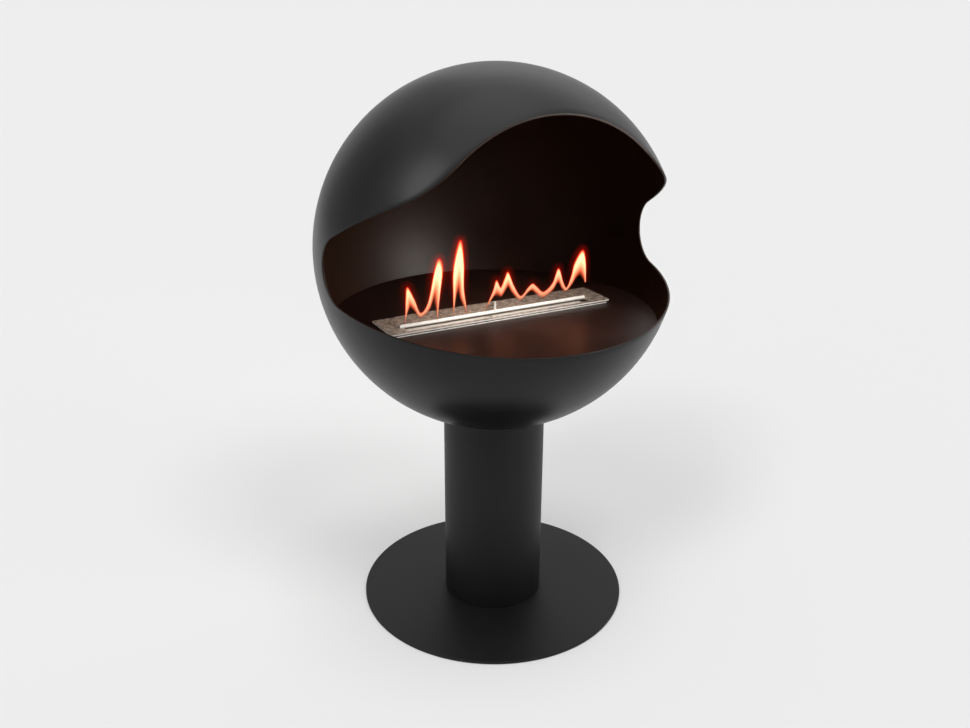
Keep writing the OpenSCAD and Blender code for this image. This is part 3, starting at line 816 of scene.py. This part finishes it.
def flame_mesh(name, outer, inner, size):
    """A flame's tongue with its halo, as a thin closed sheet that bows to the front.

    Its face runs from the inner curve (reach 0) to the outer curve (reach 0.5) and on,
    square to the outer curve, to the halo's end (reach 1). It bows forward as the root of
    4 v (1 - v) across the whole, up to the thickness or 0.35 of a narrow flame's width, and
    its back lies a little behind its front. Veil rises smoothly above the slot, slower in
    the halo, and warmth, the share of the glow, rises from the salmon roots to the pale tips."""
    outer, inner = through(outer), through(inner)
    run = np.gradient(outer, axis=0)
    square = np.stack([-run[:, 1], run[:, 0]], -1) / np.hypot(*run.T)[:, None]
    half = np.concatenate([np.linspace(0, 0.5, 13), 0.5 + 0.5 * np.linspace(0, 1, 7)[1:] ** 1.3])
    reach = np.concatenate([half, half[-2:0:-1]])[None, :, None]
    side = np.concatenate([-np.ones(len(half)), -0.85 * np.ones(len(half) - 2)])
    body, beyond = np.minimum(2 * reach, 1), np.maximum(2 * reach - 1, 0)
    flat = inner[:, None] + body * (outer - inner)[:, None] + beyond * size.halo * square[:, None]
    width = np.linalg.norm(outer - inner, axis=1) + size.halo
    reach = reach[..., 0]
    depth = np.minimum(size.thick, 0.35 * width)[:, None] * np.sqrt(4 * reach * (1 - reach))
    grid = np.stack([flat[..., 0], FLAME_Y + side * depth, flat[..., 1]], -1)
    mesh = mesh_from(name, grid, low_pole=True, high_pole=True, sharp=180)
    rise = flat[..., 1] - FLAME_ROOT
    root, body_up, glow_up = (ramped(rise, low * MM, high * MM)
                              for low, high in ((0, 30), (11, 91), (11, 121)))
    veil = root * np.where(reach > 0.5, 0.12 + 0.88 * glow_up, 1)
    warmth = 0.28 + 0.72 * body_up
    for label, values in (("reach", np.tile(reach, (len(outer), 1))), ("veil", veil),
                          ("warmth", warmth)):
        layer = mesh.attributes.new(label, "FLOAT", "POINT")
        layer.data.foreach_set("value", np.pad(values.ravel(), (0, len(mesh.vertices) - values.size)))
    return mesh


class BALLFIRE_OT_flames(bpy.types.Operator):
    """Makes the flames over the slot"""
    bl_idname = "ball_fire.flames"
    bl_label = "Flames"

    def execute(self, context):
        size = context.scene.ball_fire_flames
        material = ethanol_flame(size.glow)
        for name, (outer, inner) in FLAMES.items():
            mesh = flame_mesh(name, outer, inner, size)
            flame = place(name, mesh, "burner", None, material)
            flame.visible_shadow = False
            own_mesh(flame)
        return {"FINISHED"}


def seen_rays(owner):
    """1 for rays that the camera, a gloss or a clear material sends, 0 for those that light."""
    ray = add(owner, "ShaderNodeLightPath").outputs
    shiny = add(owner, "ShaderNodeMath", {0: ray["Is Glossy Ray"], 1: ray["Is Transmission Ray"]},
                operation="MAXIMUM")
    return add(owner, "ShaderNodeMath", {0: ray["Is Camera Ray"], 1: shiny.outputs["Value"]},
               operation="MAXIMUM").outputs["Value"]


def matt_floor_paint(pale, even):
    """Matt paint of the floor. It takes the shadows, but an even share of its tone shows to the
    camera without them, and 0.6 of that share to a gloss."""
    paint = blank("matt_floor_paint")
    face = add(paint, "ShaderNodeBsdfDiffuse", {"Color": pale})
    plain = add(paint, "ShaderNodeEmission", {"Color": pale, "Strength": 1.0})
    ray = add(paint, "ShaderNodeLightPath").outputs
    share = add(paint, "ShaderNodeMath", {0: ray["Is Camera Ray"], 1: even}, operation="MULTIPLY")
    share = add(paint, "ShaderNodeMath", {0: ray["Is Glossy Ray"], 1: even * 0.6,
                2: share.outputs["Value"]}, operation="MULTIPLY_ADD")
    both = add(paint, "ShaderNodeMixShader", {0: share.outputs["Value"], 1: face.outputs["BSDF"],
                                              2: plain.outputs["Emission"]})
    add(paint, "ShaderNodeOutputMaterial", {"Surface": both.outputs["Shader"]})
    return paint


# Half the floor's side, in metres: far enough for its edge to lie at the horizon
FLOOR_REACH = 600


def lay_floor(scene, levels):
    """One flat square on the ground."""
    far = FLOOR_REACH
    ground = bpy.data.meshes.new("floor")
    ground.from_pydata([(-far, -far, 0), (far, -far, 0), (far, far, 0), (-far, far, 0)], [],
                       [(0, 1, 2, 3)])
    ground.materials.append(matt_floor_paint(scene.ball_fire_colours.floor, levels.even))
    floor = bpy.data.objects.new("floor", ground)
    scene.collection.objects.link(floor)


def light_sky(scene, levels):
    """An even sky that lights at its level and shows in the floor's own tone."""
    sky = scene.world or bpy.data.worlds.new("sky")
    scene.world = sky
    sky.use_nodes = True
    sky.node_tree.nodes.clear()
    lit = add(sky, "ShaderNodeBackground", {"Color": (1, 1, 1, 1), "Strength": levels.sky})
    seen = add(sky, "ShaderNodeBackground", {"Color": scene.ball_fire_colours.floor, "Strength": 1.0})
    both = add(sky, "ShaderNodeMixShader", {0: seen_rays(sky), 1: lit.outputs["Background"],
                                            2: seen.outputs["Background"]})
    add(sky, "ShaderNodeOutputWorld", {"Surface": both.outputs["Shader"]})


def toward(azimuth, height):
    """The direction of a lamp, its azimuth in degrees from -Y to +X and its height over the floor."""
    turn, lift = math.radians(azimuth), math.radians(height)
    return Vector((math.sin(turn) * math.cos(lift), -math.cos(turn) * math.cos(lift), math.sin(lift)))


def soft_lamps(levels):
    """The far soft lamps as name, level, azimuth, height and width in degrees. The left one is
    tall, so it is two discs stacked one over the other."""
    return (("left_low", 0.64 * levels.left, -62, 45, 16), ("left_high", 0.36 * levels.left, -62, 59, 16),
            ("right", levels.right, 13, 53, 22), ("top", levels.top, 13, 86, 24))


def fill_lamps(levels):
    """The near soft lamps as name, power, width, depth, spread in degrees, place and target:
    one over the burner, and one on the inner left wall."""
    return (("burner_fill", levels.burner, 0.22, 0.06, 30, (-0.02, -0.22, 0.82), (-0.02, 0.005, 0.55)),
            ("wall_fill", levels.wall, 0.5, 0.35, 60, (0.5, -0.62, 0.9), (-0.06, 0.27, 0.57)))


def hang_lamps(scene, levels):
    """Hangs the far lamps, each with the level that it lights a flat floor with, and the near
    ones. Of the far lamps only the right one shows in a gloss, beside the cards."""
    for name, share, azimuth, height, width in soft_lamps(levels):
        lamp = bpy.data.lights.new(name, "SUN")
        lamp.energy = share * math.pi / math.sin(math.radians(height))
        lamp.angle = math.radians(width)
        sun = bpy.data.objects.new(name, lamp)
        sun.rotation_euler = toward(azimuth, height).to_track_quat("Z", "Y").to_euler()
        sun.visible_glossy = name == "right"
        scene.collection.objects.link(sun)
    for name, watts, width, depth, spread, source, target in fill_lamps(levels):
        lamp = bpy.data.lights.new(name, "AREA")
        lamp.shape = "RECTANGLE"
        lamp.size, lamp.size_y = width, depth
        lamp.spread = math.radians(spread)
        lamp.energy = watts
        lamp.color = linear("#FFF8F0")[:3]
        fill = bpy.data.objects.new(name, lamp)
        fill.location = source
        fill.rotation_euler = (Vector(source) - Vector(target)).to_track_quat("Z", "Y").to_euler()
        fill.visible_camera = False
        scene.collection.objects.link(fill)


# Studio cards that only a gloss shows: name, azimuths and heights in degrees, tone and level
CARDS = (("card_left", -165, -118, 0, 45, "#A8A8A8", 1.0),
         ("card_behind", 165, 195, 0, 45, "#D0D0D0", 1.0),
         ("card_right", 105, 162, 8, 28, "#DDDDDD", 1.0),
         ("card_back", 100, 165, 30, 63, "#FFFFFF", 1.2),
         ("card_top", -180, 180, 64, 88, "#FFFFFF", 2.1),
         ("card_front", -60, 18, 0, 45, "#303030", 1.0),
         ("card_lamp", -100, -74, 34, 58, "#FFFFFF", 7.0))
CARD_REACH = 8.0
CARD_SIDES = 24


def hang_cards(scene):
    """Each card is a strip of an upright cylinder about the object, between two heights."""
    for name, first, last, low, high, tone, shown in CARDS:
        paint = blank(name)
        glow = add(paint, "ShaderNodeEmission", {"Color": linear(tone), "Strength": shown})
        add(paint, "ShaderNodeOutputMaterial", {"Surface": glow.outputs["Emission"]})
        swing = np.radians(np.linspace(first, last, CARD_SIDES + 1))
        ring = np.stack([np.sin(swing), -np.cos(swing), 0 * swing], -1) * CARD_REACH
        rims = [ring + [0, 0, CARD_REACH * math.tan(math.radians(height))] for height in (low, high)]
        faces = [(k, k + 1, k + CARD_SIDES + 2, k + CARD_SIDES + 1) for k in range(CARD_SIDES)]
        sheet = bpy.data.meshes.new(name)
        sheet.from_pydata(np.vstack(rims).tolist(), [], faces)
        sheet.materials.append(paint)
        card = bpy.data.objects.new(name, sheet)
        scene.collection.objects.link(card)
        card.visible_camera = card.visible_diffuse = False
        card.visible_shadow = card.visible_transmission = False


# The photograph's camera, from a fit of the outlines: its focal length and width in pixels,
# its place in metres, and the directions of its right and upper sides
FOCAL_PX = 966.34
WIDTH_PX = 970
SENSOR_MM = 36
CAMERA_PLACE = Vector((-0.75807, -1.37428, 1.05955))
CAMERA_RIGHT = Vector((0.88141, -0.47234, 0.00442))
CAMERA_UP = Vector((0.16762, 0.32149, 0.93196))


def set_camera(scene):
    """Sets up the photograph's camera, which sees past the floor's edge."""
    lens = bpy.data.cameras.new("photo_view")
    lens.sensor_width = SENSOR_MM
    lens.lens = FOCAL_PX / WIDTH_PX * SENSOR_MM
    lens.clip_end = 5 * FLOOR_REACH
    camera = bpy.data.objects.new("photo_view", lens)
    axes = Matrix((CAMERA_RIGHT, CAMERA_UP, CAMERA_RIGHT.cross(CAMERA_UP)))
    camera.matrix_world = Matrix.Translation(CAMERA_PLACE) @ axes.transposed().to_4x4()
    scene.collection.objects.link(camera)
    scene.camera = camera


class BALLFIRE_OT_stage(bpy.types.Operator):
    """Makes the pale floor, the soft light and the camera"""
    bl_idname = "ball_fire.stage"
    bl_label = "Stage"

    def execute(self, context):
        scene, levels = context.scene, context.scene.ball_fire_stage
        lay_floor(scene, levels)
        light_sky(scene, levels)
        hang_lamps(scene, levels)
        hang_cards(scene)
        set_camera(scene)
        scene.view_settings.view_transform = "Standard"
        return {"FINISHED"}


STEPS = (BALLFIRE_OT_ball, BALLFIRE_OT_stand, BALLFIRE_OT_hearth, BALLFIRE_OT_burner,
         BALLFIRE_OT_damper, BALLFIRE_OT_flames, BALLFIRE_OT_stage)
GROUPS = (("ball_fire_ball", BallSizes), ("ball_fire_stand", StandSizes),
          ("ball_fire_edges", EdgeSizes), ("ball_fire_flames", FlameSizes),
          ("ball_fire_colours", FinishColours), ("ball_fire_stage", StageLevels))


class BALLFIRE_PT_panel(bpy.types.Panel):
    """Lists the steps that make the fireplace"""
    bl_label = "Ball fireplace"
    bl_idname = "BALLFIRE_PT_panel"
    bl_space_type = "VIEW_3D"
    bl_region_type = "UI"
    bl_category = "Fireplace"

    def draw(self, context):
        for step in STEPS:
            self.layout.operator(step.bl_idname)
        for name, group in GROUPS:
            box = self.layout.box()
            for field in group.__annotations__:
                box.prop(getattr(context.scene, name), field)


def register():
    """Registers the groups, the operators and the panel, and hangs the groups on the scene."""
    for cls in [group for _, group in GROUPS] + list(STEPS) + [BALLFIRE_PT_panel]:
        bpy.utils.register_class(cls)
    for name, group in GROUPS:
        setattr(bpy.types.Scene, name, PointerProperty(type=group))


def unregister():
    """Undoes what register did, in the other order."""
    for name, _ in GROUPS:
        delattr(bpy.types.Scene, name)
    for cls in [BALLFIRE_PT_panel] + list(STEPS)[::-1] + [group for _, group in GROUPS]:
        bpy.utils.unregister_class(cls)


def main():
    """Makes every piece and the stage."""
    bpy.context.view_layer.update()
    register()
    bpy.ops.ball_fire.ball()
    bpy.ops.ball_fire.stand()
    bpy.ops.ball_fire.hearth()
    bpy.ops.ball_fire.burner()
    bpy.ops.ball_fire.damper()
    bpy.ops.ball_fire.flames()
    bpy.ops.ball_fire.stage()


if __name__ == "__main__":
    main()
